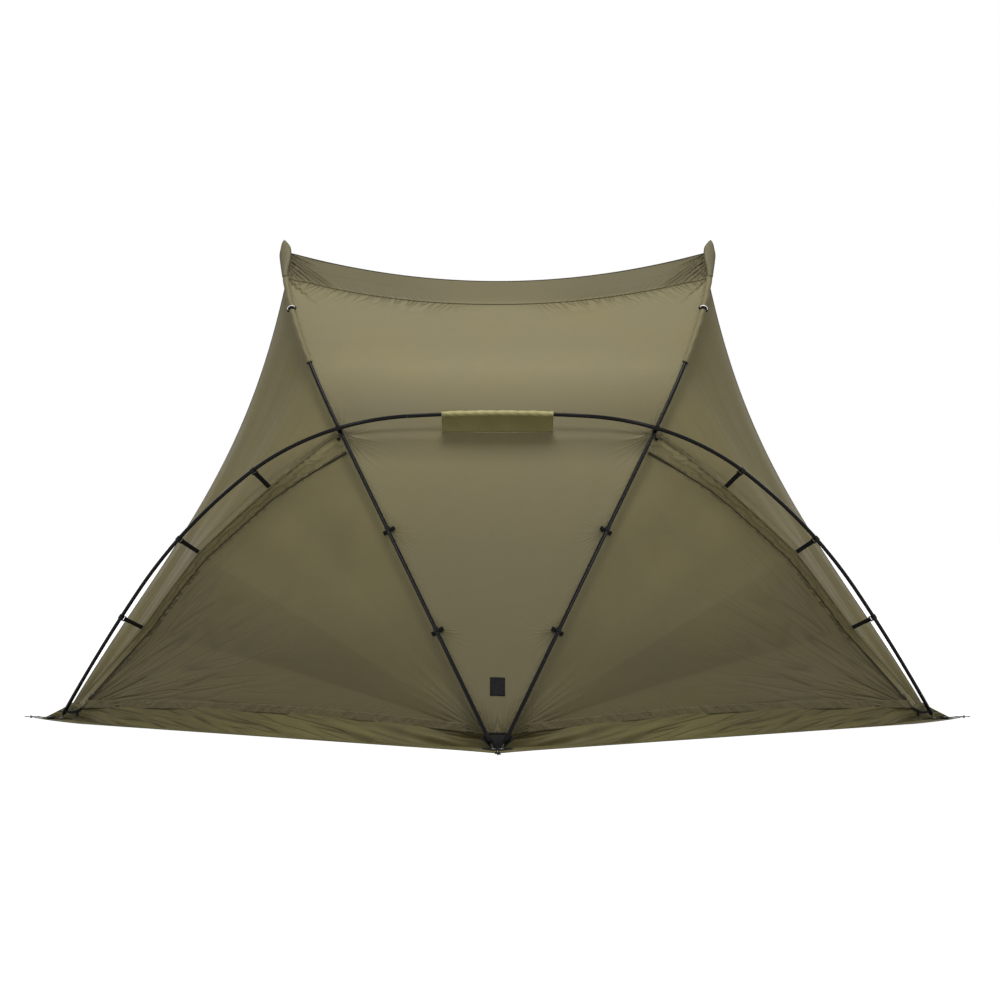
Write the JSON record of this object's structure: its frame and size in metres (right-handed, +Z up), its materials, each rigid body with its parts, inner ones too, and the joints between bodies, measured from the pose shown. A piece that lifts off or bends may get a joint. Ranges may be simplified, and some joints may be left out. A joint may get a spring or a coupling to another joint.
{
  "type": "camping tarp shelter",
  "caption": "Free-standing pole-framed tarp shelter with an open front, a sagging roof between two leaning poles, side wings, low rear walls and a ground skirt",
  "frame": {"origin": "on the ground under the middle of the shelter's bounding box", "axes": "+Z up, +Y towards the open front, +X to the right seen from behind"},
  "size_m": [4.1288, 1.6597, 2.0526],
  "materials": {
    "olive_ripstop": "coated ripstop cloth, olive",
    "skirt_cloth": "coated cloth, greener olive",
    "black_anodised": "black anodised tube",
    "black_webbing": "woven black webbing",
    "black_acetal": "moulded black plastic",
    "bright_steel": "plated steel"
  },
  "bodies": {
    "shelter": {"arch_clip_1_left": "black_acetal", "arch_clip_1_right": "black_acetal", "arch_clip_2_left": "black_acetal", "arch_clip_2_right": "black_acetal", "arch_clip_3_left": "black_acetal", "arch_clip_3_right": "black_acetal", "arch_pole_section_1": "black_anodised", "arch_pole_section_2": "black_anodised", "arch_pole_section_3": "black_anodised", "arch_pole_section_4": "black_anodised", "arch_pole_section_5": "black_anodised", "arch_pole_section_6": "black_anodised", "arch_pole_section_7": "black_anodised", "arch_sleeve": "skirt_cloth", "arch_strap_1_left": "black_webbing", "arch_strap_1_right": "black_webbing", "arch_strap_2_left": "black_webbing", "arch_strap_2_right": "black_webbing", "arch_strap_3_left": "black_webbing", "arch_strap_3_right": "black_webbing", "corner_webbing_left": "black_webbing", "corner_webbing_right": "black_webbing", "crossing_clip_left": "black_acetal", "crossing_clip_right": "black_acetal", "hub_patch": "black_webbing", "pole_sleeve_left": "olive_ripstop", "pole_sleeve_right": "olive_ripstop", "rear_center_panel": "olive_ripstop", "rear_wall_left": "olive_ripstop", "rear_wall_right": "olive_ripstop", "roof_panel": "olive_ripstop", "side_wing_left": "olive_ripstop", "side_wing_right": "olive_ripstop", "skirt_left": "skirt_cloth", "skirt_right": "skirt_cloth", "tip_pocket_left": "olive_ripstop", "tip_pocket_right": "olive_ripstop", "v_clip_1_left": "black_acetal", "v_clip_1_right": "black_acetal", "v_clip_2_left": "black_acetal", "v_clip_2_right": "black_acetal", "v_pole_left_lower": "black_anodised", "v_pole_left_middle": "black_anodised", "v_pole_left_upper": "black_anodised", "v_pole_right_lower": "black_anodised", "v_pole_right_middle": "black_anodised", "v_pole_right_upper": "black_anodised", "visor_panel": "olive_ripstop"},
    "corner_buckle_left": {"corner_buckle_left": "black_acetal"},
    "corner_buckle_right": {"corner_buckle_right": "black_acetal"},
    "peg_hook_left": {"peg_hook_left": "black_acetal"},
    "peg_hook_rear": {"peg_hook_rear": "black_acetal"},
    "peg_hook_right": {"peg_hook_right": "black_acetal"},
    "tie_ring_left": {"tie_ring_left": "bright_steel"},
    "tie_ring_right": {"tie_ring_right": "bright_steel"},
    "zip_pull_left": {"zip_pull_left": "black_acetal"},
    "zip_pull_right": {"zip_pull_right": "black_acetal"},
    "zip_slider_left": {"zip_slider_left": "bright_steel"},
    "zip_slider_right": {"zip_slider_right": "bright_steel"}
  },
  "joints": [
    {"name": "tie_ring_left_tilt", "type": "hinge", "parent": "shelter", "child": "tie_ring_left", "pos_m": [-0.85755, 0.29712, 1.74762], "axis": [-0.9185, 0.1712, -0.3564], "range_deg": [-46, 6]},
    {"name": "tie_ring_right_tilt", "type": "hinge", "parent": "shelter", "child": "tie_ring_right", "pos_m": [0.85755, 0.29712, 1.74762], "axis": [-0.9185, -0.1712, 0.3564], "range_deg": [-46, 6]},
    {"name": "zip_slider_left_slide", "type": "slide", "parent": "shelter", "child": "zip_slider_left", "axis": [0.6478, -0.3096, 0.6961], "range_m": [0, 0.03]},
    {"name": "zip_pull_left_swing", "type": "hinge", "parent": "zip_slider_left", "child": "zip_pull_left", "pos_m": [-1.73778, 0.61216, 0.12003], "axis": [-0.3793, 0.6613, 0.6471], "range_deg": [0, 150]},
    {"name": "zip_slider_right_slide", "type": "slide", "parent": "shelter", "child": "zip_slider_right", "axis": [-0.6478, -0.3096, 0.6961], "range_m": [0, 0.03]},
    {"name": "zip_pull_right_swing", "type": "hinge", "parent": "zip_slider_right", "child": "zip_pull_right", "pos_m": [1.73778, 0.61216, 0.12003], "axis": [-0.3793, -0.6613, -0.6471], "range_deg": [0, 150]},
    {"name": "corner_buckle_left_slide", "type": "slide", "parent": "shelter", "child": "corner_buckle_left", "axis": [-0.8829, 0.4695, 0], "range_m": [-0.015, 0.015]},
    {"name": "corner_buckle_right_slide", "type": "slide", "parent": "shelter", "child": "corner_buckle_right", "axis": [0.8829, 0.4695, 0], "range_m": [-0.015, 0.015]},
    {"name": "peg_hook_left_swivel", "type": "hinge", "parent": "shelter", "child": "peg_hook_left", "pos_m": [-2.03595, 0.79456, 0.0065], "axis": [0, 0, 1], "range_deg": [-30, 30]},
    {"name": "peg_hook_right_swivel", "type": "hinge", "parent": "shelter", "child": "peg_hook_right", "pos_m": [2.03595, 0.79456, 0.0065], "axis": [0, 0, 1], "range_deg": [-30, 30]},
    {"name": "peg_hook_rear_swivel", "type": "hinge", "parent": "shelter", "child": "peg_hook_rear", "pos_m": [0, -0.80264, 0.0065], "axis": [0, 0, 1], "range_deg": [-30, 30]}
  ]
}
